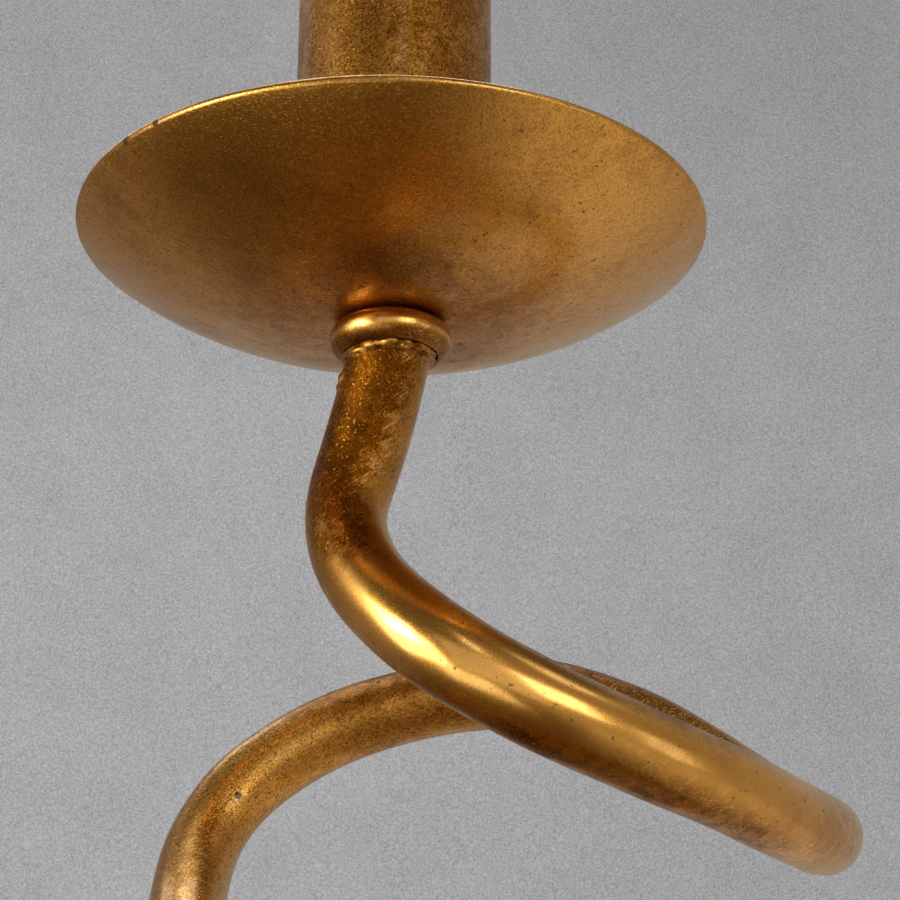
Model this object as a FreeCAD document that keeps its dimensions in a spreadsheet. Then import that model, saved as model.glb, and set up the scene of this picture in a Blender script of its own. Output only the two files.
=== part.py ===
import FreeCAD, Part
import math
import os

import Sketcher
from FreeCAD import Vector

# Spiral candle holder, in millimetres. It stands on z = 0 with the candle's axis as Z.
# Each piece is drawn from its own lowest level, and then stacked on the piece below it.

SIZES = {
    # felt pad under the base
    "felt_thickness": 1.6,
    "felt_margin": 1.0,
    # spun cover of the base
    "base_diameter": 124.0,
    "base_cover_height": 13.4,
    "base_land_diameter": 20.0,
    "base_shoulder_radius": 4.0,
    "base_skirt_height": 2.6,
    "base_wall": 1.4,
    # cast weight under the cover
    "weight_clearance": 0.4,
    "recess_clearance": 1.5,
    # ring at the stem's foot
    "foot_bead_height": 5.0,
    "foot_bead_lip": 2.2,
    "foot_socket_depth": 2.4,
    "foot_socket_clearance": 0.2,
    # screw, washer and nut under the base
    "foot_stud_diameter": 6.0,
    "foot_stud_depth": 9.0,
    "foot_washer_diameter": 12.0,
    "foot_washer_thickness": 1.2,
    "foot_nut_width": 10.0,
    "foot_nut_height": 5.0,
    # bent rod
    "rod_diameter": 10.4,
    "stem_reach": 40.0,
    "stem_height": 204.0,
    # ring under the dish, leaning rod let into it
    "collar_height": 4.3,
    "collar_lip": 1.8,
    "collar_socket_depth": 2.8,
    "collar_socket_clearance": 0.7,
    # spun dish
    "dish_diameter": 80.0,
    "dish_depth": 12.5,
    "dish_land_diameter": 10.0,
    "dish_wall": 1.2,
    # candle tube and the plug in its foot
    "tube_diameter": 25.4,
    "tube_wall": 1.2,
    "tube_seat_wall": 0.7,
    "tube_length": 58.0,
    "plug_height": 16.0,
    "plug_floor": 8.0,
    "plug_clearance": 0.05,
    # screw, washer and nut in the tube
    "cup_stud_diameter": 5.0,
    "cup_stud_depth": 5.0,
    "cup_washer_diameter": 10.0,
    "cup_washer_thickness": 1.0,
    "cup_nut_width": 8.0,
    "cup_nut_height": 4.0,
    # shared by both screws
    "stud_end": 0.8,
    "stud_chamfer": 0.7,
    "thread_clearance": 0.05,
    "hole_clearance": 0.25,
}

# The stem's centre line from the candle down to the base. The first two numbers of a row are
# shares of stem_reach, to the right and to the back. The third is a share of stem_height.
STEM_SHARES = [
    (0.01, -0.01, 1.0),
    (-0.074, 0.082, 0.937),
    (-0.131, 0.08, 0.89),
    (-0.087, 0.0, 0.85),
    (0.039, -0.099, 0.815),
    (0.262, -0.171, 0.779),
    (0.617, -0.095, 0.747),
    (0.983, 0.153, 0.729),
    (1.249, 0.49, 0.722),
    (1.407, 0.823, 0.726),
    (1.426, 1.093, 0.74),
    (1.293, 1.262, 0.766),
    (1.098, 1.367, 0.798),
    (0.852, 1.411, 0.828),
    (0.483, 1.434, 0.85),
    (0.092, 1.439, 0.843),
    (-0.227, 1.436, 0.822),
    (-0.512, 1.43, 0.784),
    (-0.658, 1.356, 0.736),
    (-0.686, 1.169, 0.687),
    (-0.689, 0.868, 0.639),
    (-0.687, 0.501, 0.598),
    (-0.637, 0.119, 0.567),
    (-0.468, -0.265, 0.534),
    (-0.16, -0.51, 0.507),
    (0.24, -0.58, 0.485),
    (0.66, -0.46, 0.470),
    (1.01, -0.17, 0.465),
    (1.22, 0.22, 0.475),
    (1.24, 0.65, 0.497),
    (1.03, 1.02, 0.519),
    (0.66, 1.22, 0.530),
    (0.22, 1.24, 0.529),
    (-0.20, 1.10, 0.513),
    (-0.54, 0.85, 0.484),
    (-0.77, 0.51, 0.448),
    (-0.86, 0.12, 0.410),
    (-0.79, -0.27, 0.371),
    (-0.55, -0.60, 0.336),
    (-0.16, -0.76, 0.308),
    (0.27, -0.72, 0.288),
    (0.63, -0.46, 0.274),
    (0.78, -0.07, 0.262),
    (0.65, 0.31, 0.243),
    (0.28, 0.46, 0.209),
    (0.02, 0.26, 0.157),
    (-0.03, 0.05, 0.085),
    (0.0, 0.0, 0.0),
]

# Below this, a biarc's two ends point the same way.
TURN_LIMIT = 1e-9

# The rod leans as it leaves the bead under the dish, and stands upright in the foot.
STEM_TOP_DIRECTION_SHARES = (-0.20, 0.10, -0.97)
STEM_FOOT_DIRECTION_SHARES = (0.0, 0.0, -1.0)

doc = FreeCAD.newDocument("spiral_candle_holder")
sheet = doc.addObject("Spreadsheet::Sheet", "Sizes")
for row, (name, size) in enumerate(SIZES.items(), start=1):
    sheet.set(f"A{row}", name)
    sheet.set(f"B{row}", str(size))
    sheet.setAlias(f"B{row}", name)
doc.recompute()


def value(expression):
    """The number that an expression of the sheet's names gives now."""
    result = sheet.evalExpression(expression)
    return float(getattr(result, "Value", result))


# Levels of the stack, from the table up
FELT_TOP = "Sizes.felt_thickness"
COVER_TOP = f"({FELT_TOP} + Sizes.base_cover_height)"
STEM_FOOT = f"({COVER_TOP} + Sizes.foot_bead_height - Sizes.foot_socket_depth)"
STEM_TOP = f"({STEM_FOOT} + Sizes.stem_height)"
COLLAR_BOTTOM = f"({STEM_TOP} - Sizes.collar_socket_depth)"
DISH_BOTTOM = f"({COLLAR_BOTTOM} + Sizes.collar_height)"
DISH_FLOOR = f"({DISH_BOTTOM} + Sizes.dish_wall)"

# Curve of the dish: its underside is an arc that leaves the flat land level and ends in the rim
DISH_SPAN = "(Sizes.dish_diameter / 2 - Sizes.dish_wall / 2 - Sizes.dish_land_diameter / 2)"
DISH_CURVE = (
    f"((Sizes.dish_depth^2 + {DISH_SPAN}^2 - Sizes.dish_wall^2 / 4)"
    " / (2 * Sizes.dish_depth - Sizes.dish_wall))"
)
TUBE_REACH = "(Sizes.tube_diameter / 2 - Sizes.dish_land_diameter / 2)"
TUBE_RISE = (
    f"({DISH_CURVE} - Sizes.dish_wall"
    f" - sqrt(({DISH_CURVE} - Sizes.dish_wall)^2 - {TUBE_REACH}^2))"
)
TUBE_BOTTOM = f"({DISH_FLOOR} + {TUBE_RISE})"

# Curve of the base cover: a dome that runs into a round shoulder above a straight skirt
DOME_SPAN = "(Sizes.base_diameter / 2 - Sizes.base_shoulder_radius - Sizes.base_land_diameter / 2)"
DOME_DROP = "(Sizes.base_cover_height - Sizes.base_skirt_height)"
DOME_CURVE = (
    f"(({DOME_SPAN}^2 + {DOME_DROP}^2 - Sizes.base_shoulder_radius^2)"
    f" / (2 * ({DOME_DROP} - Sizes.base_shoulder_radius)))"
)


def turned_piece(name, level, corners):
    """A body turned about Z from its outline, standing at the given level.

    A corner is (radius, height) or (radius, height, bend), and bend is the radius of the arc
    to the next corner, with a minus sign where the arc turns clockwise.
    """
    body = doc.addObject("PartDesign::Body", name)
    body.Label = name
    plane = [item for item in body.Origin.OriginFeatures if item.Role == "XZ_Plane"][0]
    sketch = body.newObject("Sketcher::SketchObject", name + "_outline")
    sketch.AttachmentSupport = (plane, [""])
    sketch.MapMode = "FlatFace"
    points = [Vector(value(corner[0]), value(corner[1]), 0) for corner in corners]
    bends = [value(corner[2]) if len(corner) == 3 else 0.0 for corner in corners]
    for index, bend in enumerate(bends):
        start = points[index]
        end = points[(index + 1) % len(points)]
        edge = arc_between(start, end, bend) if bend else Part.LineSegment(start, end)
        sketch.addGeometry(edge, False)
    # A clockwise arc is stored the other way round, so its first point is number 2.
    firsts = [2 if bend < 0 else 1 for bend in bends]
    for index, bend in enumerate(bends):
        following = (index + 1) % len(corners)
        joint = (index, 3 - firsts[index], following, firsts[following])
        sketch.addConstraint(Sketcher.Constraint("Coincident", *joint))
        pin_corner(sketch, index, firsts[index], "X", -2, corners[index][0], points[index].x)
        pin_corner(sketch, index, firsts[index], "Y", -1, corners[index][1], points[index].y)
        if bend:
            number = sketch.addConstraint(Sketcher.Constraint("Radius", index, abs(bend)))
            sketch.setExpression(f"Constraints[{number}]", f"abs({corners[index][2]})")
    turn = body.newObject("PartDesign::Revolution", name + "_turned")
    turn.Profile = sketch
    turn.ReferenceAxis = (sketch, ["V_Axis"])
    turn.Angle = 360
    body.setExpression("Placement.Base.z", level)
    return body


def arc_between(start, end, bend):
    """The shorter arc between two points, counterclockwise for a bend above zero."""
    chord = end - start
    half = chord.Length / 2
    offset = math.sqrt(max(bend * bend - half * half, 0.0))
    side = Vector(-chord.y, chord.x, 0).normalize()
    centre = (start + end) * 0.5 + side * math.copysign(offset, bend)
    first, last = (start, end) if bend > 0 else (end, start)
    from_angle = math.atan2(first.y - centre.y, first.x - centre.x)
    to_angle = math.atan2(last.y - centre.y, last.x - centre.x)
    circle = Part.Circle(centre, Vector(0, 0, 1), abs(bend))
    return Part.ArcOfCircle(circle, from_angle, to_angle)


def pin_corner(sketch, index, point, direction, axis, expression, distance):
    """Tie one coordinate of an edge's first point to the sheet."""
    if expression == "0":
        sketch.addConstraint(Sketcher.Constraint("PointOnObject", index, point, axis))
        return
    rule = Sketcher.Constraint("Distance" + direction, -1, 1, index, point, distance)
    number = sketch.addConstraint(rule)
    sketch.setExpression(f"Constraints[{number}]", expression)


# A nut has six flats, and its corners are turned down at this angle.
NUT_FLAT_COUNT = 6
NUT_CORNER_ANGLE = "30 deg"


def nut(name, level, width, height, hole_diameter):
    """A hexagon nut with its corners turned down, its bore the screw's diameter."""
    corner_reach = f"({width} / 2 / cos(180 deg / {NUT_FLAT_COUNT}))"
    corner_drop = f"(({corner_reach} - {width} / 2) * tan({NUT_CORNER_ANGLE}))"
    blank = turned_piece(name + "_blank", level, [
        (f"{hole_diameter} / 2 + Sizes.thread_clearance", "0"),
        (f"{width} / 2", "0"),
        (corner_reach, corner_drop),
        (corner_reach, f"{height} - {corner_drop}"),
        (f"{width} / 2", height),
        (f"{hole_diameter} / 2 + Sizes.thread_clearance", height),
    ])
    hexagon = doc.addObject("Part::Prism", name + "_hexagon")
    hexagon.Polygon = NUT_FLAT_COUNT
    hexagon.setExpression("Circumradius", corner_reach)
    hexagon.setExpression("Height", height)
    hexagon.setExpression("Placement.Base.z", level)
    piece = doc.addObject("Part::Common", name)
    piece.Label = name
    piece.Base = blank
    piece.Tool = hexagon
    return piece


def screw(name, level, diameter, length):
    """A length of threaded rod with chamfered ends, as a plain shaft."""
    return turned_piece(name, level, [
        ("0", "0"),
        (f"{diameter} / 2 - Sizes.stud_chamfer", "0"),
        (f"{diameter} / 2", "Sizes.stud_chamfer"),
        (f"{diameter} / 2", f"{length} - Sizes.stud_chamfer"),
        (f"{diameter} / 2 - Sizes.stud_chamfer", length),
        ("0", length),
    ])


# Felt pad: a plain disc that the base is glued on
felt_pad = turned_piece("felt_pad", "0", [
    ("0", "0"),
    ("Sizes.base_diameter / 2 - Sizes.felt_margin", "0"),
    ("Sizes.base_diameter / 2 - Sizes.felt_margin", "Sizes.felt_thickness"),
    ("0", "Sizes.felt_thickness"),
])

# Base cover: a spun shell with a flat land, a dome, a round shoulder and a short skirt
BASE_RADIUS = "(Sizes.base_diameter / 2)"
SHOULDER_REACH = f"({BASE_RADIUS} - Sizes.base_shoulder_radius)"
ACROSS_SHARE = f"({DOME_SPAN} / ({DOME_CURVE} - Sizes.base_shoulder_radius))"
UP_SHARE = f"(({DOME_CURVE} - {DOME_DROP}) / ({DOME_CURVE} - Sizes.base_shoulder_radius))"
INNER_SHOULDER = "(Sizes.base_shoulder_radius - Sizes.base_wall)"
FOOT_HOLE = "(Sizes.foot_stud_diameter / 2 + Sizes.hole_clearance)"
base_cover = turned_piece("base_cover", FELT_TOP, [
    (BASE_RADIUS, "0"),
    (BASE_RADIUS, "Sizes.base_skirt_height", "Sizes.base_shoulder_radius"),
    (
        f"{SHOULDER_REACH} + Sizes.base_shoulder_radius * {ACROSS_SHARE}",
        f"Sizes.base_skirt_height + Sizes.base_shoulder_radius * {UP_SHARE}",
        DOME_CURVE,
    ),
    ("Sizes.base_land_diameter / 2", "Sizes.base_cover_height"),
    (FOOT_HOLE, "Sizes.base_cover_height"),
    (FOOT_HOLE, "Sizes.base_cover_height - Sizes.base_wall"),
    (
        "Sizes.base_land_diameter / 2",
        "Sizes.base_cover_height - Sizes.base_wall",
        f"-({DOME_CURVE} - Sizes.base_wall)",
    ),
    (
        f"{SHOULDER_REACH} + {INNER_SHOULDER} * {ACROSS_SHARE}",
        f"Sizes.base_skirt_height + {INNER_SHOULDER} * {UP_SHARE}",
        f"-{INNER_SHOULDER}",
    ),
    (f"{BASE_RADIUS} - Sizes.base_wall", "Sizes.base_skirt_height"),
    (f"{BASE_RADIUS} - Sizes.base_wall", "0"),
])

# Base weight: a cast disc that fills the cover, with a recess below for the nut
RECESS_RADIUS = "(Sizes.foot_washer_diameter / 2 + Sizes.recess_clearance)"
RECESS_DEPTH = "(Sizes.foot_washer_thickness + Sizes.foot_nut_height + 2 * Sizes.stud_end)"
WEIGHT_RADIUS = f"({BASE_RADIUS} - Sizes.base_wall - Sizes.weight_clearance)"
base_weight = turned_piece("base_weight", FELT_TOP, [
    (RECESS_RADIUS, "0"),
    (WEIGHT_RADIUS, "0"),
    (WEIGHT_RADIUS, "Sizes.base_skirt_height"),
    ("Sizes.base_land_diameter / 2", "Sizes.base_cover_height - Sizes.base_wall"),
    (FOOT_HOLE, "Sizes.base_cover_height - Sizes.base_wall"),
    (FOOT_HOLE, RECESS_DEPTH),
    (RECESS_RADIUS, RECESS_DEPTH),
])

# Foot bead: the ring on the cover, open above for the stem's lower end
FOOT_SOCKET_RADIUS = "(Sizes.rod_diameter / 2 + Sizes.foot_socket_clearance)"
FOOT_LIP_CURVE = (
    "((Sizes.foot_bead_height^2 / 4 + Sizes.foot_bead_lip^2) / (2 * Sizes.foot_bead_lip))"
)
foot_bead = turned_piece("foot_bead", COVER_TOP, [
    (FOOT_HOLE, "0"),
    (FOOT_SOCKET_RADIUS, "0", FOOT_LIP_CURVE),
    (
        f"{FOOT_SOCKET_RADIUS} + Sizes.foot_bead_lip",
        "Sizes.foot_bead_height / 2",
        FOOT_LIP_CURVE,
    ),
    (FOOT_SOCKET_RADIUS, "Sizes.foot_bead_height"),
    (FOOT_SOCKET_RADIUS, "Sizes.foot_bead_height - Sizes.foot_socket_depth"),
    (FOOT_HOLE, "Sizes.foot_bead_height - Sizes.foot_socket_depth"),
])

# Screw, washer and nut that pull the stem down on the base
WASHER_SEAT = f"({FELT_TOP} + {RECESS_DEPTH})"
FOOT_NUT_TOP = f"({WASHER_SEAT} - Sizes.foot_washer_thickness)"
FOOT_NUT_BOTTOM = f"({FOOT_NUT_TOP} - Sizes.foot_nut_height)"
FOOT_STUD_BOTTOM = f"({FOOT_NUT_BOTTOM} - Sizes.stud_end)"
FOOT_STUD_TOP = f"({STEM_FOOT} + Sizes.foot_stud_depth)"
base_washer = turned_piece("base_washer", FOOT_NUT_TOP, [
    (FOOT_HOLE, "0"),
    ("Sizes.foot_washer_diameter / 2", "0"),
    ("Sizes.foot_washer_diameter / 2", "Sizes.foot_washer_thickness"),
    (FOOT_HOLE, "Sizes.foot_washer_thickness"),
])
base_nut = nut(
    "base_nut",
    FOOT_NUT_BOTTOM,
    "Sizes.foot_nut_width",
    "Sizes.foot_nut_height",
    "Sizes.foot_stud_diameter",
)
foot_stud = screw(
    "foot_stud",
    FOOT_STUD_BOTTOM,
    "Sizes.foot_stud_diameter",
    f"({FOOT_STUD_TOP} - {FOOT_STUD_BOTTOM})",
)


def biarc(start, start_direction, end, end_direction):
    """Two arcs that leave start and reach end in the given directions, and meet smoothly."""
    span = end - start
    both = start_direction + end_direction
    parting = 2 * (1 - start_direction.dot(end_direction))
    along = span.dot(both)
    if parting > TURN_LIMIT:
        reach = (math.sqrt(along**2 + parting * span.dot(span)) - along) / parting
    else:
        reach = span.dot(span) / (2 * along)
    start_pole = start + start_direction * reach
    end_pole = end - end_direction * reach
    middle = (start_pole + end_pole) * 0.5
    return [
        tangent_arc(start, start_pole, middle),
        tangent_arc(middle, end_pole, end),
    ]


def tangent_arc(start, pole, end):
    """The arc between two points whose end tangents meet in the pole."""
    centre_of_chord = (start + end) * 0.5
    rise = pole - centre_of_chord
    half = (end - start).Length / 2
    quarter_turn = math.atan2(rise.Length, half) / 2
    crown = centre_of_chord + rise.normalize() * (half * math.tan(quarter_turn))
    return Part.Arc(start, crown, end)


# Spiral stem: one rod, bent along arcs that join smoothly
reach = value("Sizes.stem_reach")
height = value("Sizes.stem_height")
foot = value(STEM_FOOT)
stem_points = [Vector(x * reach, y * reach, foot + z * height) for x, y, z in STEM_SHARES]
stem_directions = [Vector(*STEM_TOP_DIRECTION_SHARES).normalize()]
for before, here, after in zip(stem_points, stem_points[1:], stem_points[2:]):
    inward = (here - before) / (here - before).dot(here - before)
    outward = (after - here) / (after - here).dot(after - here)
    stem_directions.append((inward + outward).normalize())
stem_directions.append(Vector(*STEM_FOOT_DIRECTION_SHARES))

# The path starts half a rod above the socket's floor, and that end is cut off level.
path_start = stem_points[0] - stem_directions[0] * value("Sizes.rod_diameter / 2")
stem_curves = [Part.LineSegment(path_start, stem_points[0])]
for index in range(len(stem_points) - 1):
    stem_curves += biarc(
        stem_points[index],
        stem_directions[index],
        stem_points[index + 1],
        stem_directions[index + 1],
    )
stem_path = doc.addObject("Part::Feature", "stem_path")
stem_edges = [curve.toShape() for curve in stem_curves]
stem_path.Shape = Part.Wire(stem_edges)

stem_section = doc.addObject("Part::Circle", "stem_section")
stem_section.setExpression("Radius", "Sizes.rod_diameter / 2")
stem_section.Placement = FreeCAD.Placement(
    path_start,
    FreeCAD.Rotation(Vector(0, 0, 1), stem_directions[0]),
)
bent_rod = doc.addObject("Part::Sweep", "bent_rod")
bent_rod.Sections = [stem_section]
bent_rod.Spine = (stem_path, [])
bent_rod.Solid = True
bent_rod.Frenet = False

top_offcut = doc.addObject("Part::Cylinder", "top_offcut")
top_offcut.setExpression("Radius", "Sizes.rod_diameter")
top_offcut.setExpression("Height", "Sizes.rod_diameter")
top_offcut.setExpression("Placement.Base.z", STEM_TOP)
top_hole = doc.addObject("Part::Cylinder", "top_hole")
top_hole.setExpression("Radius", "Sizes.cup_stud_diameter / 2 + Sizes.thread_clearance")
top_hole.setExpression("Height", "Sizes.cup_stud_depth")
top_hole.setExpression("Placement.Base.z", f"{STEM_TOP} - Sizes.cup_stud_depth")
foot_hole = doc.addObject("Part::Cylinder", "foot_hole")
foot_hole.setExpression("Radius", "Sizes.foot_stud_diameter / 2 + Sizes.thread_clearance")
foot_hole.setExpression("Height", "Sizes.foot_stud_depth")
foot_hole.setExpression("Placement.Base.z", STEM_FOOT)
stem_cuts = doc.addObject("Part::MultiFuse", "stem_cuts")
stem_cuts.Shapes = [top_offcut, top_hole, foot_hole]
spiral_stem = doc.addObject("Part::Cut", "spiral_stem")
spiral_stem.Label = "spiral_stem"
spiral_stem.Base = bent_rod
spiral_stem.Tool = stem_cuts

# Collar bead: the ring under the dish, open below for the stem's upper end
COLLAR_SOCKET_RADIUS = "(Sizes.rod_diameter / 2 + Sizes.collar_socket_clearance)"
COLLAR_LIP_CURVE = (
    "((Sizes.collar_height^2 / 4 + Sizes.collar_lip^2) / (2 * Sizes.collar_lip))"
)
CUP_HOLE = "(Sizes.cup_stud_diameter / 2 + Sizes.hole_clearance)"
collar_bead = turned_piece("collar_bead", COLLAR_BOTTOM, [
    (CUP_HOLE, "Sizes.collar_height"),
    (CUP_HOLE, "Sizes.collar_socket_depth"),
    (COLLAR_SOCKET_RADIUS, "Sizes.collar_socket_depth"),
    (COLLAR_SOCKET_RADIUS, "0", COLLAR_LIP_CURVE),
    (
        f"{COLLAR_SOCKET_RADIUS} + Sizes.collar_lip",
        "Sizes.collar_height / 2",
        COLLAR_LIP_CURVE,
    ),
    (COLLAR_SOCKET_RADIUS, "Sizes.collar_height"),
])

# Drip dish: a spun shell with a flat land in the middle and a rounded rim
DISH_MIDDLE_CURVE = f"({DISH_CURVE} - Sizes.dish_wall / 2)"
RIM_RADIUS = "(Sizes.dish_diameter / 2 - Sizes.dish_wall / 2)"
RIM_ACROSS = f"(Sizes.dish_wall / 2 * {DISH_SPAN} / {DISH_MIDDLE_CURVE})"
RIM_UP = f"(Sizes.dish_wall / 2 * ({DISH_CURVE} - Sizes.dish_depth) / {DISH_MIDDLE_CURVE})"
drip_dish = turned_piece("drip_dish", DISH_BOTTOM, [
    (CUP_HOLE, "0"),
    ("Sizes.dish_land_diameter / 2", "0", DISH_CURVE),
    (
        f"{RIM_RADIUS} + {RIM_ACROSS}",
        f"Sizes.dish_depth - {RIM_UP}",
        "Sizes.dish_wall / 2",
    ),
    (
        f"{RIM_RADIUS} + {RIM_UP}",
        f"Sizes.dish_depth + {RIM_ACROSS}",
        "Sizes.dish_wall / 2",
    ),
    (
        f"{RIM_RADIUS} - {RIM_ACROSS}",
        f"Sizes.dish_depth + {RIM_UP}",
        f"-({DISH_CURVE} - Sizes.dish_wall)",
    ),
    ("Sizes.dish_land_diameter / 2", "Sizes.dish_wall"),
    (CUP_HOLE, "Sizes.dish_wall"),
])

# Candle tube: it stands on the dish's curve, is bored wider for the plug, and its mouth is round
TUBE_BORE = "(Sizes.tube_diameter / 2 - Sizes.tube_wall)"
TUBE_SEAT = "(Sizes.tube_diameter / 2 - Sizes.tube_seat_wall)"
SEAT_LENGTH = f"(Sizes.plug_height - {TUBE_RISE})"
candle_tube = turned_piece("candle_tube", TUBE_BOTTOM, [
    (TUBE_SEAT, "0"),
    ("Sizes.tube_diameter / 2", "0"),
    (
        "Sizes.tube_diameter / 2",
        "Sizes.tube_length - Sizes.tube_wall / 2",
        "Sizes.tube_wall / 2",
    ),
    (
        "Sizes.tube_diameter / 2 - Sizes.tube_wall / 2",
        "Sizes.tube_length",
        "Sizes.tube_wall / 2",
    ),
    (TUBE_BORE, "Sizes.tube_length - Sizes.tube_wall / 2"),
    (TUBE_BORE, SEAT_LENGTH),
    (TUBE_SEAT, SEAT_LENGTH),
])

# Cup plug: the candle stands on its shoulder, and the nut sits in the recess below that
PLUG_RADIUS = f"({TUBE_SEAT} - Sizes.plug_clearance)"
NUT_RECESS_RADIUS = "(Sizes.cup_washer_diameter / 2 + Sizes.recess_clearance)"
cup_plug = turned_piece("cup_plug", DISH_FLOOR, [
    (CUP_HOLE, "0"),
    ("Sizes.dish_land_diameter / 2", "0"),
    (PLUG_RADIUS, TUBE_RISE),
    (PLUG_RADIUS, "Sizes.plug_height"),
    (NUT_RECESS_RADIUS, "Sizes.plug_height"),
    (NUT_RECESS_RADIUS, "Sizes.plug_floor"),
    (CUP_HOLE, "Sizes.plug_floor"),
])

# Screw, washer and nut that pull plug, dish and bead down on the stem
CUP_WASHER_BOTTOM = f"({DISH_FLOOR} + Sizes.plug_floor)"
CUP_NUT_BOTTOM = f"({CUP_WASHER_BOTTOM} + Sizes.cup_washer_thickness)"
CUP_STUD_BOTTOM = f"({STEM_TOP} - Sizes.cup_stud_depth)"
CUP_STUD_TOP = f"({CUP_NUT_BOTTOM} + Sizes.cup_nut_height + Sizes.stud_end)"
cup_washer = turned_piece("cup_washer", CUP_WASHER_BOTTOM, [
    (CUP_HOLE, "0"),
    ("Sizes.cup_washer_diameter / 2", "0"),
    ("Sizes.cup_washer_diameter / 2", "Sizes.cup_washer_thickness"),
    (CUP_HOLE, "Sizes.cup_washer_thickness"),
])
cup_nut = nut(
    "cup_nut",
    CUP_NUT_BOTTOM,
    "Sizes.cup_nut_width",
    "Sizes.cup_nut_height",
    "Sizes.cup_stud_diameter",
)
top_stud = screw(
    "top_stud",
    CUP_STUD_BOTTOM,
    "Sizes.cup_stud_diameter",
    f"({CUP_STUD_TOP} - {CUP_STUD_BOTTOM})",
)

doc.recompute()

parts = [
    felt_pad,
    base_weight,
    base_cover,
    base_washer,
    base_nut,
    foot_stud,
    foot_bead,
    spiral_stem,
    collar_bead,
    top_stud,
    drip_dish,
    candle_tube,
    cup_plug,
    cup_washer,
    cup_nut,
]

# Nothing is written unless every object is sound.
for item in doc.Objects:
    if "Invalid" in item.State or "Error" in item.State:
        raise RuntimeError(f"{item.Name} failed: {item.State}")
for part in parts:
    if part.Shape.isNull() or not part.Shape.isValid() or len(part.Shape.Solids) != 1:
        raise RuntimeError(f"{part.Label} is not one sound solid")

# What the stem came out as
bend_radii = [edge.Curve.Radius for edge in stem_edges[1:]]
stem_length = stem_path.Shape.Length
rod_area = math.pi * value("Sizes.rod_diameter / 2") ** 2
print(f"stem: {stem_length:.1f} mm of rod, tightest bend {min(bend_radii):.1f} mm")
print(f"stem: volume over section times length {bent_rod.Shape.Volume / rod_area / stem_length:.4f}")
bore_length = value(f"Sizes.tube_length - Sizes.tube_wall / 2 - {SEAT_LENGTH}")
bore_floor = value(f"{DISH_FLOOR} + Sizes.plug_height")
rim_level = value(f"{DISH_BOTTOM} + Sizes.dish_depth")
print(f"candle bore: {bore_length:.2f} mm deep, floor {bore_floor:.2f} mm up")
print(f"rim of the dish: {rim_level:.2f} mm up")

os.makedirs("parts", exist_ok=True)
for part in parts:
    box = part.Shape.BoundBox
    print(f"{part.Label}: {part.Shape.Volume:.0f} mm3, {box.ZMin:.2f} to {box.ZMax:.2f} mm up")
    part.Shape.exportStep(os.path.join("parts", part.Label + ".step"))
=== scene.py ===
import math

import bmesh
import bpy
from mathutils import Matrix, Vector, noise


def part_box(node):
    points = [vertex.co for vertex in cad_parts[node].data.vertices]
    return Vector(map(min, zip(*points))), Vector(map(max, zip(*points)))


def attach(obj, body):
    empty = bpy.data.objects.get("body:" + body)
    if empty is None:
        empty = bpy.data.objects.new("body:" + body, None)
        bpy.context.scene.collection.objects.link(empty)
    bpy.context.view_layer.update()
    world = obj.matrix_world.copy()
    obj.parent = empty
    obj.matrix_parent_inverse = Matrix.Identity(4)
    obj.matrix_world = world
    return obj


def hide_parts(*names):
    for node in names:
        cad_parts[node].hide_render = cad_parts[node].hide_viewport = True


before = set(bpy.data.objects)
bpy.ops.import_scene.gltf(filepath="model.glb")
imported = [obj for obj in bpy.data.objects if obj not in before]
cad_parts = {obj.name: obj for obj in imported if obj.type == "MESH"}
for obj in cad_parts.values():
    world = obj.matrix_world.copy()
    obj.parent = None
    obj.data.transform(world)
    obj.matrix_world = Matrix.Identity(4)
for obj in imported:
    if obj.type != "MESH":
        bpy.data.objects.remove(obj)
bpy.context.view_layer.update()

# Felt pad
# A disc of green-black wool felt, 1.6 mm thick, punched out and glued under the base.
# Its cut edge is worn round.

MM = 0.001


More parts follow.
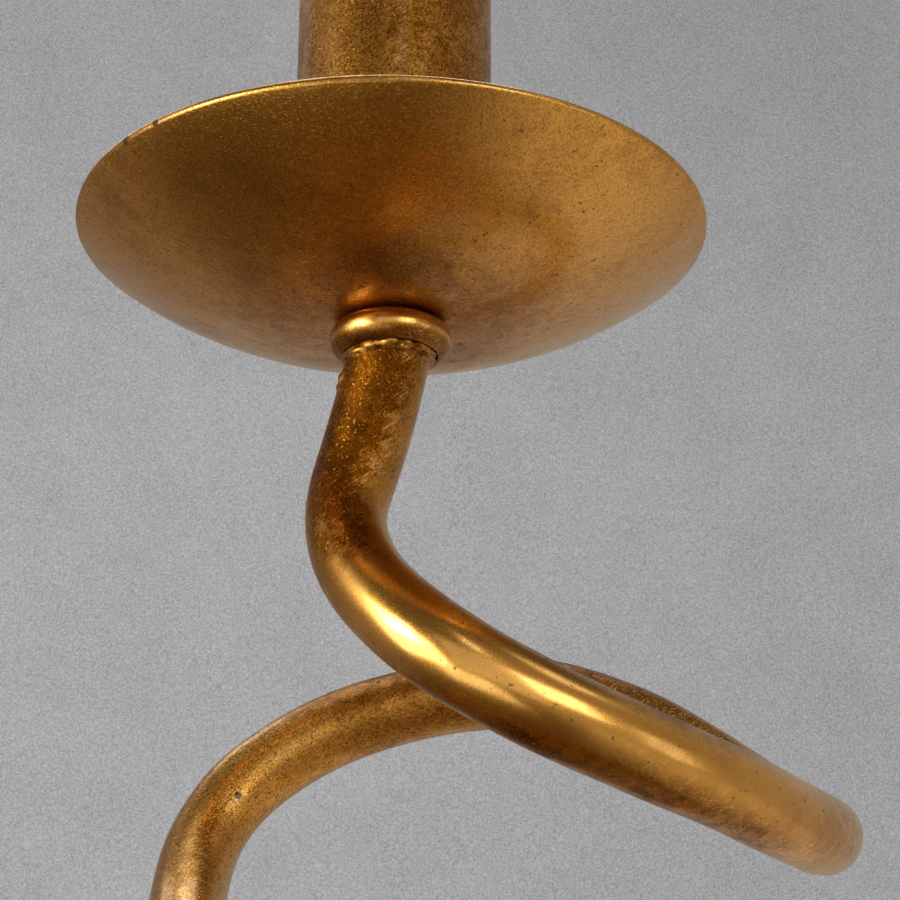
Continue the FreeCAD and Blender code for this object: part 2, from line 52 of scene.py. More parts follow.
class Tone:
    """One number or colour of a finish. Sums of tones add the nodes that work them out."""

    def __init__(self, tree, socket):
        self.tree = tree
        self.socket = socket

    def node(self, kind, settings=None, values=None, output=0):
        """Add a node: its settings first, then the values or tones of its sockets."""
        new = self.tree.nodes.new(kind)
        for name, setting in (settings or {}).items():
            setattr(new, name, setting)
        for name, value in (values or {}).items():
            if isinstance(value, Tone):
                self.tree.links.new(value.socket, new.inputs[name])
            else:
                new.inputs[name].default_value = value
        return Tone(self.tree, new.outputs[output] if new.outputs else None)

    def math(self, operation, first, second):
        """One sum, on two tones or on a tone and a number."""
        return self.node("ShaderNodeMath", {"operation": operation}, {0: first, 1: second})

    def __add__(self, other):
        return self.math("ADD", self, other)

    __radd__ = __add__

    def __sub__(self, other):
        return self.math("SUBTRACT", self, other)

    def __rsub__(self, other):
        return self.math("SUBTRACT", other, self)

    def __mul__(self, other):
        return self.math("MULTIPLY", self, other)

    __rmul__ = __mul__

    def between(self, low, high):
        """0 below low, 1 above high, and smooth between them."""
        settings = {"interpolation_type": "SMOOTHSTEP"}
        values = {"Value": self, "From Min": low, "From Max": high}
        return self.node("ShaderNodeMapRange", settings, values)

    def mix(self, low, high):
        """The colour low where this tone is 0, and high where it is 1."""
        low, high = [c if isinstance(c, Tone) else (*c, 1.0) for c in (low, high)]
        # The colours are at the mix's sockets 6 and 7, and at its output 2.
        values = {0: self, 6: low, 7: high}
        return self.node("ShaderNodeMix", {"data_type": "RGBA"}, values, output=2)

    def along(self, axis):
        """One of the three numbers of these coordinates, in metres: X, Y or Z."""
        return self.node("ShaderNodeSeparateXYZ", values={"Vector": self}, output=axis)

    def length(self):
        """How far these coordinates are from the origin, in metres."""
        settings = {"operation": "LENGTH"}
        return self.node("ShaderNodeVectorMath", settings, {0: self}, output="Value")

    def distance(self, spot):
        """How far these coordinates are from a spot that is given in millimetres."""
        settings = {"operation": "DISTANCE"}
        values = {0: self, 1: Vector(spot) * MM}
        return self.node("ShaderNodeVectorMath", settings, values, output="Value")

    def grain(self, size, detail=2.0, roughness=0.5, distortion=0.0, shift=(0, 0, 0)):
        """Noise on these coordinates, with features of a size in millimetres."""
        moved = self.node("ShaderNodeMapping", values={"Vector": self, "Location": shift})
        return self.node("ShaderNodeTexNoise", values={
            "Vector": moved,
            "Scale": 1.0 / (size * MM),
            "Detail": detail,
            "Roughness": roughness,
            "Distortion": distortion,
        })


def new_finish(name):
    """An empty material, and the coordinates of the piece that wears it."""
    material = bpy.data.materials.new(name)
    material.use_nodes = True
    material.node_tree.nodes.clear()
    unlinked = Tone(material.node_tree, None)
    return material, unlinked.node("ShaderNodeTexCoord", output="Object")


def lay_on(material, shader):
    """Join the finished shader to the material."""
    shader.node("ShaderNodeOutputMaterial", values={"Surface": shader})
    return material


MERGE_GAP = 0.001
ARC_STEP = 1.2
FEWEST_STEPS = 6


def draw_outline(corners):
    """A bmesh with a closed outline in the XZ plane, in millimetres.

    A corner is (radius, height) or (radius, height, bend), and bend is the radius of the arc
    to the next corner, with a minus sign where the arc turns clockwise.
    """
    bm = bmesh.new()
    last = bm.verts.new((corners[0][0], 0, corners[0][1]))
    for corner, following in zip(corners, corners[1:] + corners[:1]):
        start = Vector((corner[0], 0, corner[1]))
        end = Vector((following[0], 0, following[1]))
        if len(corner) == 3:
            chord = end - start
            bend = abs(corner[2])
            offset = math.sqrt(max(bend**2 - chord.length_squared / 4, 0.0))
            side = Vector((-chord.z, 0, chord.x)).normalized() * math.copysign(1, corner[2])
            angle = 2 * math.asin(min(chord.length / 2 / bend, 1.0))
            turned = bmesh.ops.spin(
                bm,
                geom=[last],
                cent=(start + end) / 2 + side * offset,
                axis=(0, 1, 0),
                angle=-math.copysign(angle, corner[2]),
                steps=max(FEWEST_STEPS, round(angle * bend / ARC_STEP)),
            )
            last = turned["geom_last"][0]
        else:
            last = bmesh.ops.extrude_vert_indiv(bm, verts=[last])["verts"][0]
            last.co = end
    bmesh.ops.remove_doubles(bm, verts=bm.verts, dist=MERGE_GAP)
    return bm


SHARP_ANGLE = 0.6


def turn(bm, steps=192, spacing=2.0, edge=0.15):
    """Turn an outline about Z: a closed shell whose sharp edges are broken."""
    for line in [e for e in bm.edges if e.calc_length() > spacing]:
        cuts = int(line.calc_length() / spacing)
        bmesh.ops.subdivide_edges(bm, edges=[line], cuts=cuts)
    outline = bm.verts[:] + bm.edges[:]
    bmesh.ops.spin(
        bm,
        geom=outline,
        cent=(0, 0, 0),
        axis=(0, 0, 1),
        angle=math.tau,
        steps=steps,
        use_merge=True,
    )
    bmesh.ops.remove_doubles(bm, verts=bm.verts, dist=MERGE_GAP)
    bmesh.ops.recalc_face_normals(bm, faces=bm.faces)
    sharp = [e for e in bm.edges if e.is_manifold and e.calc_face_angle() > SHARP_ANGLE]
    if sharp and edge:
        bmesh.ops.bevel(
            bm,
            geom=sharp,
            offset=edge,
            offset_type="OFFSET",
            affect="EDGES",
            segments=3,
            profile=0.5,
            material=-1,
        )
    return bm


def ripple(bm, rise, size, seed, where=lambda place: 1.0):
    """Move the surface in and out by a gentle, uneven ripple."""
    bm.normal_update()
    moves = []
    for vert in bm.verts:
        place = vert.co / size + Vector((seed, seed * 0.7, 0))
        moves.append(vert.normal * noise.noise(place) * rise * where(vert.co))
    for vert, move in zip(bm.verts, moves):
        vert.co += move


def finish_piece(name, bm, material, slot, *nodes):
    """Turn a bmesh in millimetres into the named piece, in place of its CAD nodes."""
    bmesh.ops.scale(bm, vec=(MM, MM, MM), verts=bm.verts)
    mesh = bpy.data.meshes.new(name)
    for face in bm.faces:
        face.smooth = True
    bm.to_mesh(mesh)
    bm.free()
    mesh.materials.append(material)
    piece = bpy.data.objects.new(name, mesh)
    bpy.context.scene.collection.objects.link(piece)
    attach(piece, "root")
    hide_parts(*nodes)
    return piece


def levels(node):
    """The lowest level, the highest level and the radius of a CAD node, in millimetres."""
    low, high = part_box(node)
    return low.z / MM, high.z / MM, high.x / MM


def felt_finish():
    """Matted wool: short fibres lying every way, and a little lint."""
    material, place = new_finish("green_felt")
    fibre = place.grain(0.35, 6.0, 0.7, 1.5)
    clump = place.grain(2.4, 3.0)
    colour = (fibre * 0.7 + clump * 0.3).mix((0.010, 0.020, 0.014), (0.050, 0.085, 0.060))
    bump = place.node("ShaderNodeBump", values={
        "Height": fibre + clump * 0.5,
        "Strength": 0.8,
        "Distance": 0.0002,
    })
    return lay_on(material, place.node("ShaderNodeBsdfPrincipled", values={
        "Base Color": colour,
        "Roughness": 0.95,
        "Sheen Weight": 0.35,
        "Sheen Roughness": 0.4,
        "Normal": bump,
    }))


felt_bottom, felt_top, felt_reach = levels("felt_pad")
felt = turn(draw_outline([
    (0, felt_bottom),
    (felt_reach, felt_bottom),
    (felt_reach, felt_top),
    (0, felt_top),
]), spacing=3.0, edge=0.3)
felt_pad = finish_piece("felt_disc", felt, felt_finish(), "felt", "felt_pad")

# Base weight, washer, nut
# A cast-iron disc fills the cover and keeps the tall spiral from tipping. In its recess a
# steel washer and nut pull the stem's screw tight. The felt hides all of them.


def iron_finish():
    """Sand-cast iron, dark and grainy, with a film of rust."""
    material, place = new_finish("cast_iron")
    sand = place.grain(0.9, 4.0, 0.65)
    rust = place.grain(7.0, 4.0, 0.6).between(0.5, 0.7)
    bump = place.node("ShaderNodeBump", values={
        "Height": sand,
        "Strength": 0.6,
        "Distance": 0.0003,
    })
    return lay_on(material, place.node("ShaderNodeBsdfPrincipled", values={
        "Base Color": rust.mix((0.055, 0.052, 0.050), (0.120, 0.055, 0.030)),
        "Metallic": 1.0 - rust * 0.8,
        "Roughness": 0.55 + sand * 0.3,
        "Normal": bump,
    }))


def steel_finish():
    """Zinc-plated steel: pale, softly brushed, a little dull in patches."""
    material, place = new_finish("plated_steel")
    dull = place.grain(3.0, 4.0, 0.6)
    brushed = place.grain(0.12, 2.0)
    bump = place.node("ShaderNodeBump", values={
        "Height": brushed,
        "Strength": 0.3,
        "Distance": 0.00002,
    })
    return lay_on(material, place.node("ShaderNodeBsdfPrincipled", values={
        "Base Color": dull.mix((0.50, 0.50, 0.49), (0.66, 0.66, 0.64)),
        "Metallic": 1.0,
        "Roughness": 0.25 + dull * 0.25,
        "Normal": bump,
    }))


iron = iron_finish()
steel = steel_finish()
for node_name, finish in [
    ("base_weight", iron),
    ("base_washer", steel),
    ("base_nut", steel),
    ("foot_stud", steel),
    ("top_stud", steel),
    ("cup_washer", steel),
    ("cup_nut", steel),
]:
    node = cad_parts[node_name]
    node.data.materials.clear()
    node.data.materials.append(finish)

# Base cover
# A shell spun from brass sheet: a flat land in the middle, a low dome, a round shoulder and
# a short skirt. It is gilded and darkened like the rest, and sits down over the weight.

LEAF_GOLD = (0.76, 0.385, 0.065)
BRIGHT_GLINT = (0.85, 0.50, 0.11)
# The wax and grime colours also show the painted shade that some pieces' stains add.
THIN_WAX_AND_SHADE = (0.25, 0.078, 0.004)
THICK_WAX_AND_SHADE = (0.045, 0.011, 0.0006)
DULL_LEAF = (0.12, 0.033, 0.001)
BARE_METAL = (0.04, 0.016, 0.004)
BLACK_GRIME_AND_SHADE = (0.022, 0.006, 0.0005)


def gilt_finish(name, seed, stain_and_shade=None, coarse=None, pits=()):
    """Old gilding: bright metal leaf under brown wax, mottled, scratched and finely speckled.

    stain_and_shade and coarse tell, by place, how thick the wax lies, with the painted
    shade that some pieces add to it, and how rough the leaf is. A pit is a spot with its
    size, all in millimetres, where the gilding is chipped off.
    """
    material, place = new_finish(name)
    shift = (seed, seed * 0.6, -seed)
    cloud = place.grain(11.0, 3.0, 0.5, 0.4, shift)
    mottle = place.grain(1.9, 5.0, 0.65, 0.4, shift)
    leaf_grain = place.grain(0.30, 4.0, 0.75, 0.6, shift)
    specks = place.grain(0.75, 2.0, 0.5, 0.0, shift)
    glints = place.grain(0.28, 2.0, 0.6, 0.8, shift)
    # The scratches are fine grain, drawn out 14 times along one slanting line.
    stroke = place.node("ShaderNodeMapping", {"vector_type": "TEXTURE"}, {
        "Vector": place,
        "Rotation": (0.0, 0.9, 0.2),
        "Scale": (1.0, 1.0, 14.0),
    })
    scratch = stroke.grain(0.26, 2.0, 0.5, 0.0, shift).between(0.56, 0.68)
    rough = coarse(place) if coarse else 1.0
    brown = cloud.between(0.42, 0.72) * 0.28 + (mottle - 0.5) * (rough * 0.4 + 0.4)
    # A piece's stain can add painted shade on top of the wax.
    if stain_and_shade:
        brown = brown + stain_and_shade(place)
    # Where the stain runs past 1 the colour goes near black: grime under the thickest wax,
    # and deeper painted shade where a piece's stain paints it.
    grime_and_shade = brown.between(1.0, 1.7) * 0.8
    brown = brown.node("ShaderNodeClamp", values={"Value": brown - scratch * 0.3})
    colour = brown.mix(LEAF_GOLD, leaf_grain.between(0.36, 0.64).mix(THICK_WAX_AND_SHADE, THIN_WAX_AND_SHADE))
    colour = grime_and_shade.mix(colour, BLACK_GRIME_AND_SHADE)
    dull = leaf_grain.between(0.54, 0.38)
    colour = (dull * 0.4 * rough).mix(colour, DULL_LEAF)
    chip = specks.between(0.34, 0.26)
    for *spot, size in pits:
        pit = place.distance(spot).between(size * MM, size * MM / 2) * 1.3
        chip = chip.math("MAXIMUM", chip, pit)
    colour = (chip * 0.7).mix(colour, BARE_METAL)
    colour = (glints.between(0.62, 0.74) * 0.8).mix(colour, BRIGHT_GLINT)
    bump = place.node("ShaderNodeBump", values={
        "Height": (leaf_grain + mottle * 0.8 + chip * -0.6 + scratch * -0.5) * rough,
        "Strength": 0.6,
        "Distance": 0.00003,
    })
    edge = place.node("ShaderNodeLayerWeight", values={"Blend": 0.5}, output="Facing")
    return lay_on(material, place.node("ShaderNodeBsdfPrincipled", values={
        "Base Color": colour,
        "Metallic": 1.0,
        "Roughness": 0.17 + mottle * 0.08 + dull * 0.06 + brown * 0.22 + chip * 0.2,
        "Normal": bump,
        "Coat Weight": (1.0 - brown) * (0.9 - rough * 0.2) + edge.between(0.5, 0.9) * 0.1,
        "Coat Roughness": 0.13,
    }))


cover_bottom, cover_top, cover_reach = levels("base_cover")
cover_wall = 1.4
skirt_top = cover_bottom + 2.6
shoulder = 4.0
land = 10.0
screw_hole = 3.25
dome_span = cover_reach - shoulder - land
dome_drop = cover_top - skirt_top
dome = (dome_span**2 + dome_drop**2 - shoulder**2) / (2 * (dome_drop - shoulder))
across = dome_span / (dome - shoulder)
up = (dome - dome_drop) / (dome - shoulder)
inner = shoulder - cover_wall
cover = turn(draw_outline([
    (cover_reach, cover_bottom),
    (cover_reach, skirt_top, shoulder),
    (cover_reach - shoulder + shoulder * across, skirt_top + shoulder * up, dome),
    (land, cover_top),
    (screw_hole, cover_top),
    (screw_hole, cover_top - cover_wall),
    (land, cover_top - cover_wall, -(dome - cover_wall)),
    (cover_reach - shoulder + inner * across, skirt_top + inner * up, -inner),
    (cover_reach - cover_wall, skirt_top),
    (cover_reach - cover_wall, cover_bottom),
]), steps=256, edge=0.25)


def cover_stain(place):
    """The base is the brownest piece: it is never rubbed."""
    return 0.35 + place.grain(9.0, 3.0, 0.5, 0.5) * 0.2


cover_gilt = gilt_finish("cover_gilt", 0.31, cover_stain)
finish_piece("spun_base", cover, cover_gilt, "gilt", "base_cover")

# Foot bead
# A turned ring with a round outside, soldered on the cover. The stem's foot stands in it.

foot_bottom, foot_top, foot_reach = levels("foot_bead")
foot_socket = 5.4
foot_seat = foot_top - 2.4
foot_lip = foot_reach - foot_socket
foot_curve = ((foot_top - foot_bottom) ** 2 / 4 + foot_lip**2) / (2 * foot_lip)
foot = turn(draw_outline([
    (screw_hole, foot_bottom),
    (foot_socket, foot_bottom, foot_curve),
    (foot_reach, (foot_bottom + foot_top) / 2, foot_curve),
    (foot_socket, foot_top),
    (foot_socket, foot_seat),
    (screw_hole, foot_seat),
]), steps=128, spacing=1.0, edge=0.2)
foot_gilt = gilt_finish("bead_gilt", 0.87)
finish_piece("foot_ring", foot, foot_gilt, "gilt", "foot_bead")

# Spiral stem
# One solid brass rod, 10.4 mm thick, bent by hand into three tilted turns and gilded. Its
# upper end is filed to fit the ring under the dish. The cut edge is ragged, and the gilding
# ran into three small drips beside it.

REACH = 40.0
STEM_BOTTOM = 17.6
STEM_RISE = 204.0
STEM_SHARES = [
    (0.01, -0.01, 1.0),
    (-0.074, 0.082, 0.937),
    (-0.131, 0.08, 0.89),
    (-0.087, 0.0, 0.85),
    (0.039, -0.099, 0.815),
    (0.262, -0.171, 0.779),
    (0.617, -0.095, 0.747),
    (0.983, 0.153, 0.729),
    (1.249, 0.49, 0.722),
    (1.407, 0.823, 0.726),
    (1.426, 1.093, 0.74),
    (1.293, 1.262, 0.766),
    (1.098, 1.367, 0.798),
    (0.852, 1.411, 0.828),
    (0.483, 1.434, 0.85),
    (0.092, 1.439, 0.843),
    (-0.227, 1.436, 0.822),
    (-0.512, 1.43, 0.784),
    (-0.658, 1.356, 0.736),
    (-0.686, 1.169, 0.687),
    (-0.689, 0.868, 0.639),
    (-0.687, 0.501, 0.598),
    (-0.637, 0.119, 0.567),
    (-0.468, -0.265, 0.534),
    (-0.16, -0.51, 0.507),
    (0.24, -0.58, 0.485),
    (0.66, -0.46, 0.470),
    (1.01, -0.17, 0.465),
    (1.22, 0.22, 0.475),
    (1.24, 0.65, 0.497),
    (1.03, 1.02, 0.519),
    (0.66, 1.22, 0.530),
    (0.22, 1.24, 0.529),
    (-0.20, 1.10, 0.513),
    (-0.54, 0.85, 0.484),
    (-0.77, 0.51, 0.448),
    (-0.86, 0.12, 0.410),
    (-0.79, -0.27, 0.371),
    (-0.55, -0.60, 0.336),
    (-0.16, -0.76, 0.308),
    (0.27, -0.72, 0.288),
    (0.63, -0.46, 0.274),
    (0.78, -0.07, 0.262),
    (0.65, 0.31, 0.243),
    (0.28, 0.46, 0.209),
    (0.02, 0.26, 0.157),
    (-0.03, 0.05, 0.085),
    (0.0, 0.0, 0.0),
]
ROD_RADIUS = 5.2

stem_points = [
    Vector((x * REACH, y * REACH, STEM_BOTTOM + z * STEM_RISE)) for x, y, z in STEM_SHARES
]
# One more point carries the line on past the cut, so that the cut end is whole.
stem_points.insert(0, stem_points[0] + Vector((0.2, -0.1, 0.97)) * ROD_RADIUS)
# The bends run on smoothly: each point's direction evens out the bend on its two sides.
pulls = [(after - before) / 2 for before, after in zip(stem_points, stem_points[2:])]
pulls = [stem_points[1] - stem_points[0]] + pulls + [stem_points[-1] - stem_points[-2]]
pulls[-1] = Vector((0, 0, -pulls[-1].length))
for _ in range(40):
    for i in range(1, len(pulls) - 1):
        span = stem_points[i + 1] - stem_points[i - 1]
        pulls[i] = (span * 3 - pulls[i - 1] - pulls[i + 1]) / 4

line = bpy.data.curves.new("rod_line", "CURVE")
line.dimensions = "3D"
line.twist_mode = "MINIMUM"
bends = line.splines.new("BEZIER")
bends.bezier_points.add(len(stem_points) - 1)
for bend, point, pull in zip(bends.bezier_points, stem_points, pulls):
    bend.co = point
    bend.handle_left_type = bend.handle_right_type = "FREE"
    bend.handle_left = point - pull / 3
    bend.handle_right = point + pull / 3
bends.radius_interpolation = "BSPLINE"
# The rod is drawn thinner in the sharp bend, and filed down at the ring.
THICKNESS_SHARES = [0.94, 1.0, 1.03, 0.97, 0.98, 1.015, 1.03]
for bend, share in zip(bends.bezier_points, THICKNESS_SHARES):
    bend.radius = share
bends.resolution_u = 20
line.bevel_depth = ROD_RADIUS
line.bevel_resolution = 22
line.use_fill_caps = True
rod_maker = bpy.data.objects.new("rod_line", line)
bpy.context.scene.collection.objects.link(rod_maker)
rod_mesh = bpy.data.meshes.new_from_object(
    rod_maker.evaluated_get(bpy.context.evaluated_depsgraph_get())
)
rod = bmesh.new()
rod.from_mesh(rod_mesh)
bpy.data.objects.remove(rod_maker)
bpy.data.meshes.remove(rod_mesh)
bmesh.ops.remove_doubles(rod, verts=rod.verts, dist=MERGE_GAP)
bmesh.ops.bisect_plane(
    rod,
    geom=rod.verts[:] + rod.edges[:] + rod.faces[:],
    plane_co=(0, 0, STEM_BOTTOM + STEM_RISE),
    plane_no=(0, 0, 1),
    clear_outer=True,
)
bmesh.ops.holes_fill(rod, edges=[e for e in rod.edges if e.is_boundary])
bmesh.ops.recalc_face_normals(rod, faces=rod.faces)
ripple(rod, 0.10, 9.0, 4.2)
# Close rings round the upper end carry the burr and the drips.
FIRST_RING = 213.6
RING_STEP = 0.3
for ring in range(20):
    bmesh.ops.bisect_plane(
        rod,
        geom=rod.verts[:] + rod.edges[:] + rod.faces[:],
        plane_co=(0, 0, FIRST_RING + ring * RING_STEP),
        plane_no=(0, 0, 1),
    )

BURR_START = 217.8
DRIPS = [((-6.2, -0.4, 215.9), 0.6), ((-6.6, 0.2, 214.9), 0.5), ((-6.4, -0.3, 214.2), 0.4)]


def share(number, low, high):
    """0 at low, 1 at high, even between them, and held there past them."""
    return min(1.0, max(0.0, (number - low) / (high - low)))


def burr(spot):
    """How far the cut end's ragged edge stands out."""
    ragged = 0.45 + noise.noise(spot / 0.8) * 0.6
    return max(0.0, ragged * share(spot.z, BURR_START, BURR_START + 0.5))


def drips(spot):
    """A few drips of gilding that ran together on the left."""
    heights = [size - (spot - Vector(drip)).length / 1.6 for drip, size in DRIPS]
    return max(0.0, *heights)


rod.normal_update()
upper_end = [vert for vert in rod.verts if vert.co.z > FIRST_RING - 0.6]
moves = [(vert, vert.normal * (burr(vert.co) + drips(vert.co))) for vert in upper_end]
for vert, move in moves:
    vert.co += move


# The attribute holds wax and painted shade. Painted shade lies on top of the rod and
# underneath it, most at the front, and on its left side below the ring, with a painted
# highlight on the far left edge. The wax lies all round below the ring, but for the burr and
# the drips, and its right side is lighter by painted light. Each share goes from 0 to 1
# between two places in millimetres, or between two slopes of the surface.
rod.normal_update()
wax_and_shade = rod.verts.layers.float.new("wax_and_shade")
for vert in rod.verts:
    spot = vert.co
    facing = vert.normal
    # Painted shade on top of the rod and underneath it, most at the front.
    top_and_under_shade = share(abs(facing.z), 0.35, 0.85)
    top_and_under_shade *= max(0.4, share(spot.y, 40.0, 15.0)) * share(spot.x, 58.0, 42.0)
    high = share(spot.z, 182.0, 195.0)
    # Painted light: the right side is kept lighter.
    right_side_light = share(facing.x, 0.25, 0.80)
    # Painted shade on the left side below the ring, lifted at the far-left edge into a
    # painted highlight.
    left = share(abs(facing.x + 0.45), 0.6, 0.0) * 0.75
    left *= share(spot.z, 216.0, 210.0) * share(spot.z, 197.0, 205.0)
    left -= share(facing.x, -0.75, -1.0) * 0.5
    ragged = share(noise.noise(spot / 0.8), -0.2, 0.4 / 3)
    bare = share(spot.z, BURR_START - 0.1, BURR_START + 0.2) * ragged * 0.8
    bare = max(bare, share(drips(spot), 0.0, 0.25))
    vert[wax_and_shade] = max(top_and_under_shade * 0.7, high * (1.0 + left - right_side_light * 0.65)) * (1.0 - bare)


def stem_wax_and_shade(place):
    """The wax and painted shade that were worked out for each spot, in blotches."""
    thick = place.node("ShaderNodeAttribute", {"attribute_name": "wax_and_shade"}, output="Fac")
    blotch = place.grain(2.4, 4.0, 0.6, 0.5).between(0.35, 0.65)
    return thick * (0.88 + blotch * 0.3)


def stem_coarse(place):
    """The front of the first loop is rubbed smooth, and the rest is rougher."""
    back = place.along("Y").between(0.005, 0.035)
    upper = place.along("Z").between(0.192, 0.206)
    return 0.15 + back * 1.9 + upper * 1.3


stem_pits = [(-21.4, 51.7, 174.8, 0.7)]
stem_gilt = gilt_finish("stem_gilt", 1.73, stem_wax_and_shade, stem_coarse, stem_pits)
finish_piece("bent_rod", rod, stem_gilt, "gilt_rod", "spiral_stem")

# Collar bead
# The ring under the dish, turned from brass with a half-round outside. The rod's filed end
# is let into it from below with some room all round.

collar_foot, collar_head, collar_reach = levels("collar_bead")
collar_lip = 1.8
collar_socket = collar_reach - collar_lip
collar_seat = collar_foot + 2.8
collar_curve = ((collar_head - collar_foot) ** 2 / 4 + collar_lip**2) / (2 * collar_lip)
cup_hole = 2.75
collar = turn(draw_outline([
    (cup_hole, collar_head),
    (cup_hole, collar_seat),
    (collar_socket, collar_seat),
    (collar_socket, collar_foot, collar_curve),
    (collar_reach, (collar_foot + collar_head) / 2, collar_curve),
    (collar_socket, collar_head),
]), steps=160, spacing=0.8, edge=0.15)


def collar_shade(place):
    """Painted shade: darker on the lower side and in the corner under the dish."""
    height = place.along("Z")
    return height.between(0.2206, 0.2198) * 0.75 + height.between(0.2223, 0.2229) * 0.5


collar_gilt = gilt_finish("collar_gilt", 2.2, collar_shade, lambda place: 0.7)
finish_piece("collar_ring", collar, collar_gilt, "gilt", "collar_bead")

# Drip dish
# A shallow dish spun from 1.2 mm brass sheet, flat where it is clamped, with a rounded edge.

# The facets of the rounded rim end just short of the dish's true reach of 40 mm.
dish_bottom = levels("drip_dish")[0]
dish_reach = 40.0
dish_wall = 1.2
dish_depth = 12.5
dish_land = 5.0
dish_span = dish_reach - dish_wall / 2 - dish_land
dish_curve = (dish_depth**2 + dish_span**2 - dish_wall**2 / 4) / (2 * dish_depth - dish_wall)
rim_across = dish_wall / 2 * dish_span / (dish_curve - dish_wall / 2)
rim_up = dish_wall / 2 * (dish_curve - dish_depth) / (dish_curve - dish_wall / 2)
rim = dish_reach - dish_wall / 2
rim_level = dish_bottom + dish_depth
dish = turn(draw_outline([
    (cup_hole, dish_bottom),
    (dish_land, dish_bottom, dish_curve),
    (rim + rim_across, rim_level - rim_up, dish_wall / 2),
    (rim + rim_up, rim_level + rim_across, dish_wall / 2),
    (rim - rim_across, rim_level + rim_up, -(dish_curve - dish_wall)),
    (dish_land, dish_bottom + dish_wall),
    (cup_hole, dish_bottom + dish_wall),
]), steps=256, spacing=1.5, edge=0.0)
ripple(dish, 0.05, 14.0, 7.7)


def dish_darkening(place):
    """Darker on the left of the front, and painted shade in the corner round the ring."""
    front = place.along("Y").between(0.006, -0.034)
    left = place.along("X").between(0.026, -0.012)
    ring_corner_shade = place.length().between(0.2280, 0.2235)
    return front * left * 0.32 + ring_corner_shade * 0.5


dish_pits = [(-31.0, -25.2, 235.6, 0.9), (-27.0, -29.4, 235.6, 0.7)]
dish_gilt = gilt_finish("dish_gilt", 3.1, dish_darkening, lambda place: 1.3, dish_pits)
finish_piece("spun_dish", dish, dish_gilt, "gilt", "drip_dish")

# Candle tube and plug
# A plain brass tube that takes a 22 mm candle, standing on the dish. The turned plug inside
# its foot centres it, and carries the candle on its shoulder.

tube_bottom, tube_top, tube_reach = levels("candle_tube")
tube_wall = 1.2
plug_reach = tube_reach - 0.7
seat_top = levels("cup_plug")[1]
tube = turn(draw_outline([
    (plug_reach, tube_bottom),
    (tube_reach, tube_bottom),
    (tube_reach, tube_top - tube_wall / 2, tube_wall / 2),
    (tube_reach - tube_wall / 2, tube_top, tube_wall / 2),
    (tube_reach - tube_wall, tube_top - tube_wall / 2),
    (tube_reach - tube_wall, seat_top),
    (plug_reach, seat_top),
]), steps=160, spacing=1.5, edge=0.1)


def tube_stain(place):
    """Wax rubbed thinner towards the foot."""
    return 0.35 + place.along("Z").between(0.236, 0.252) * 0.25


def tube_coarse(place):
    """The tube is the roughest piece, in wide patches."""
    return place.grain(6.0) * 1.6 + 1.8


tube_gilt = gilt_finish("tube_gilt", 4.4, tube_stain, tube_coarse)
finish_piece("candle_socket", tube, tube_gilt, "gilt", "candle_tube")

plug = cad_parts["cup_plug"]
plug.data.materials.clear()
plug.data.materials.append(tube_gilt)

# Studio
# A pale floor that runs up into a grey wall all round, soft lamps, and the camera
# low in front of the object, looking up at the dish. The wall's grey has painted shade, and
# glossy rays see painted light and shade on the wall and floor.

MIDDLE = Vector((0.0, 0.0, 0.19))


def studio_tones(name):
    """A stage material's coordinates, with whether a camera ray or a glossy ray sees it."""
    material, place = new_finish(name)
    camera_ray = place.node("ShaderNodeLightPath", output="Is Camera Ray")
    glossy_ray = place.node("ShaderNodeLightPath", output="Is Glossy Ray")
    return material, place, camera_ray, glossy_ray


def make_stage(name, bm, material):
    """Turn a bmesh in metres into a part of the studio."""
    mesh = bpy.data.meshes.new(name)
    bm.to_mesh(mesh)
    bm.free()
    mesh.materials.append(material)
    thing = bpy.data.objects.new(name, mesh)
    bpy.context.scene.collection.objects.link(thing)


WALL_REACH = 2.4
WALL_HEIGHT = 3.2
wall = bmesh.new()
bmesh.ops.create_circle(wall, cap_ends=False, radius=WALL_REACH, segments=128)
risen = bmesh.ops.extrude_edge_only(wall, edges=wall.edges[:])
bmesh.ops.translate(
    wall,
    vec=(0, 0, WALL_HEIGHT),
    verts=[v for v in risen["geom"] if isinstance(v, bmesh.types.BMVert)],
)
wall_grey, place, camera_ray, glossy_ray = studio_tones("wall_grey")
paper = place.grain(2.2, 4.0, 0.7, 0.6)
patch = place.grain(90.0, 2.0)
paper = paper.between(0.25, 0.75) * 0.9 + patch.between(0.2, 0.8) * 0.1
grey = paper.mix((0.24, 0.235, 0.24), (0.545, 0.535, 0.545))
side = place.along("X")
# Painted shade: the wall's grey darkens towards the right and upwards.
shade = side.between(-0.25, 0.6) * 0.13 + place.along("Z").between(1.0, 1.8) * 0.13
grey = shade.mix(grey, (0.0, 0.0, 0.0))
# Painted reflection: glossy rays see the wall warm, brighter towards the right, and darker in
# front of the object than behind it.
behind = side.between(-1.6, 1.6).mix((0.26, 0.22, 0.18), (0.40, 0.35, 0.28))
before = side.between(-1.0, 2.2).mix((0.13, 0.10, 0.07), (0.34, 0.28, 0.22))
painted_reflection = place.along("Y").between(-1.2, 0.6).mix(before, behind)
look = glossy_ray.mix(grey, painted_reflection)
glow = place.node("ShaderNodeEmission", values={"Color": look, "Strength": 1.0})
paint = place.node("ShaderNodeBsdfDiffuse", values={"Color": (0.5, 0.5, 0.5, 1.0)})
seen = camera_ray + glossy_ray
both = place.node("ShaderNodeMixShader", values={0: seen, 1: paint, 2: glow})
make_stage("studio_wall", wall, lay_on(wall_grey, both))

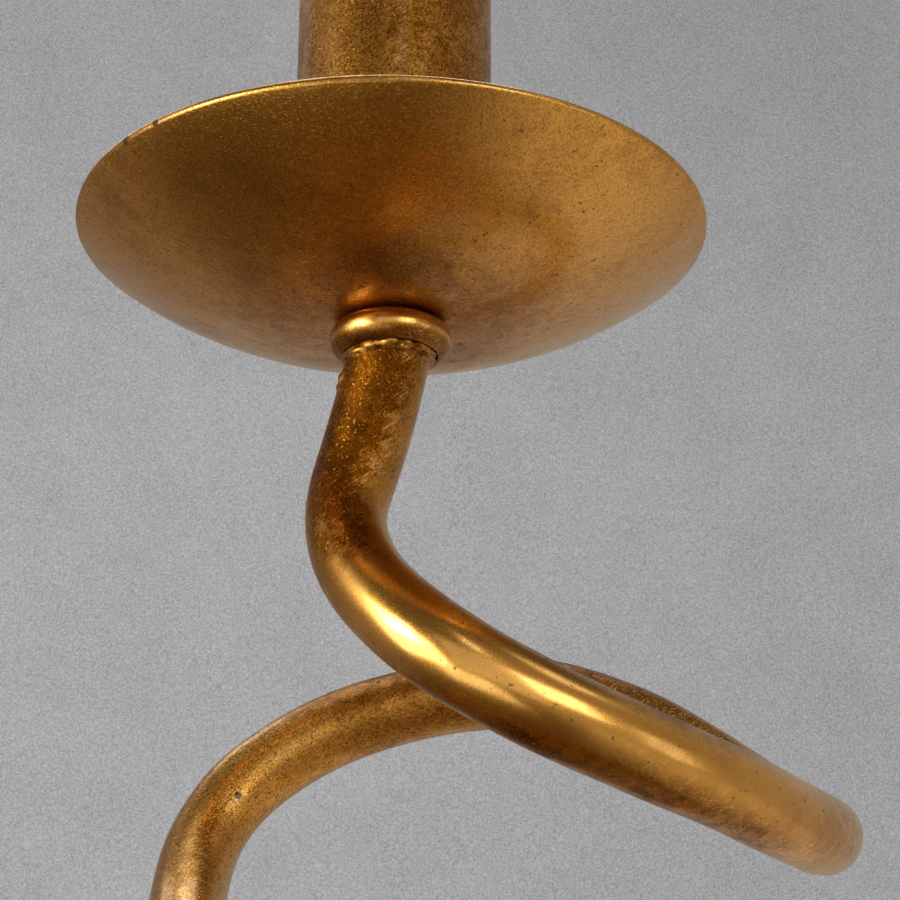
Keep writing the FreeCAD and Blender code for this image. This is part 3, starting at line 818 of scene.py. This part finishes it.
floor = bmesh.new()
bmesh.ops.create_circle(floor, cap_ends=True, radius=WALL_REACH, segments=128)
floor_pale, place, camera_ray, glossy_ray = studio_tones("floor_pale")
paint = place.node("ShaderNodeBsdfDiffuse", values={"Color": (0.55, 0.55, 0.55, 1.0)})
# Painted reflection: glossy rays see painted shade on the floor's left and front, darkest
# near the object, and a painted pool of light on its right and back, brightest near the
# object.
far = place.length()
shaded = far.between(0.15, 0.50).mix((0.11, 0.07, 0.03), (0.30, 0.24, 0.18))
bright = far.between(0.25, 0.70).mix((0.66, 0.57, 0.46), (0.42, 0.36, 0.30))
slant = place.along("X") + place.along("Y") * 0.35
painted_reflection = slant.between(-0.02, 0.19).mix(shaded, bright)
glow = place.node("ShaderNodeEmission", values={"Color": painted_reflection, "Strength": 1.0})
pale = (0.42, 0.415, 0.42, 1.0)
plain = place.node("ShaderNodeEmission", values={"Color": pale, "Strength": 1.0})
shown = place.node("ShaderNodeMixShader", values={0: camera_ray * 0.75, 1: paint, 2: plain})
both = place.node("ShaderNodeMixShader", values={0: glossy_ray, 1: shown, 2: glow})
make_stage("studio_floor", floor, lay_on(floor_pale, both))

world = bpy.data.worlds.new("studio_air")
world.use_nodes = True
world.node_tree.nodes["Background"].inputs["Color"].default_value = (0.11, 0.085, 0.06, 1.0)
bpy.context.scene.world = world


def soft_lamp(name, azimuth, elevation, distance, width, height, brightness):
    """A soft lamp, turned to the object, at a distance from the middle of its upper half.

    Azimuth 0 is the camera's side. The brightness is that of the lamp's own face.
    """
    azimuth, elevation = math.radians(azimuth), math.radians(elevation)
    away = Vector((
        math.sin(azimuth) * math.cos(elevation),
        -math.cos(azimuth) * math.cos(elevation),
        math.sin(elevation),
    ))
    light = bpy.data.lights.new(name, "AREA")
    light.shape = "RECTANGLE"
    light.size = width
    light.size_y = height
    light.energy = brightness * math.pi * width * height
    lamp = bpy.data.objects.new(name, light)
    lamp.location = MIDDLE + away * distance
    lamp.rotation_euler = away.to_track_quat("Z", "Y").to_euler()
    lamp.visible_camera = False
    bpy.context.scene.collection.objects.link(lamp)


soft_lamp("key_lamp", -58, -7, 0.48, 0.40, 0.26, 3.4)
soft_lamp("spark_lamp", -58, 7, 0.50, 0.20, 0.18, 9.0)
soft_lamp("low_lamp", -28, -33, 0.27, 0.20, 0.10, 1.5)
soft_lamp("left_lamp", -78, 24, 0.50, 0.20, 0.26, 0.9)
soft_lamp("fill_lamp", -2, 4, 0.60, 0.52, 0.42, 0.6)
soft_lamp("front_lamp", 32, 10, 0.60, 0.26, 0.24, 3.4)
soft_lamp("right_lamp", 64, -2, 0.60, 0.16, 0.26, 0.95)
soft_lamp("high_front_lamp", 8, 35, 0.70, 0.10, 0.14, 2.8)
soft_lamp("right_top_lamp", 66, 50, 0.80, 0.22, 0.18, 1.2)
soft_lamp("top_lamp", -80, 78, 0.80, 0.40, 0.40, 1.3)
soft_lamp("back_top_lamp", -178, 68, 0.90, 0.44, 0.30, 3.0)
soft_lamp("back_left_lamp", -140, 47, 0.80, 0.22, 0.26, 2.0)

camera_data = bpy.data.cameras.new("camera")
camera_data.sensor_width = 36.0
camera_data.lens = 94.04
camera_data.clip_start = 0.01
camera = bpy.data.objects.new("camera", camera_data)
camera_place = Matrix.Translation((0.0055, -0.2704, 0.1023))
heading = Matrix.Rotation(math.radians(-0.42), 4, "Z")
tilt = Matrix.Rotation(math.radians(90 + 21.06), 4, "X")
roll = Matrix.Rotation(math.radians(0.20), 4, "Z")
camera.matrix_world = camera_place @ heading @ tilt @ roll
bpy.context.scene.collection.objects.link(camera)
bpy.context.scene.camera = camera
bpy.context.scene.view_settings.view_transform = "Standard"
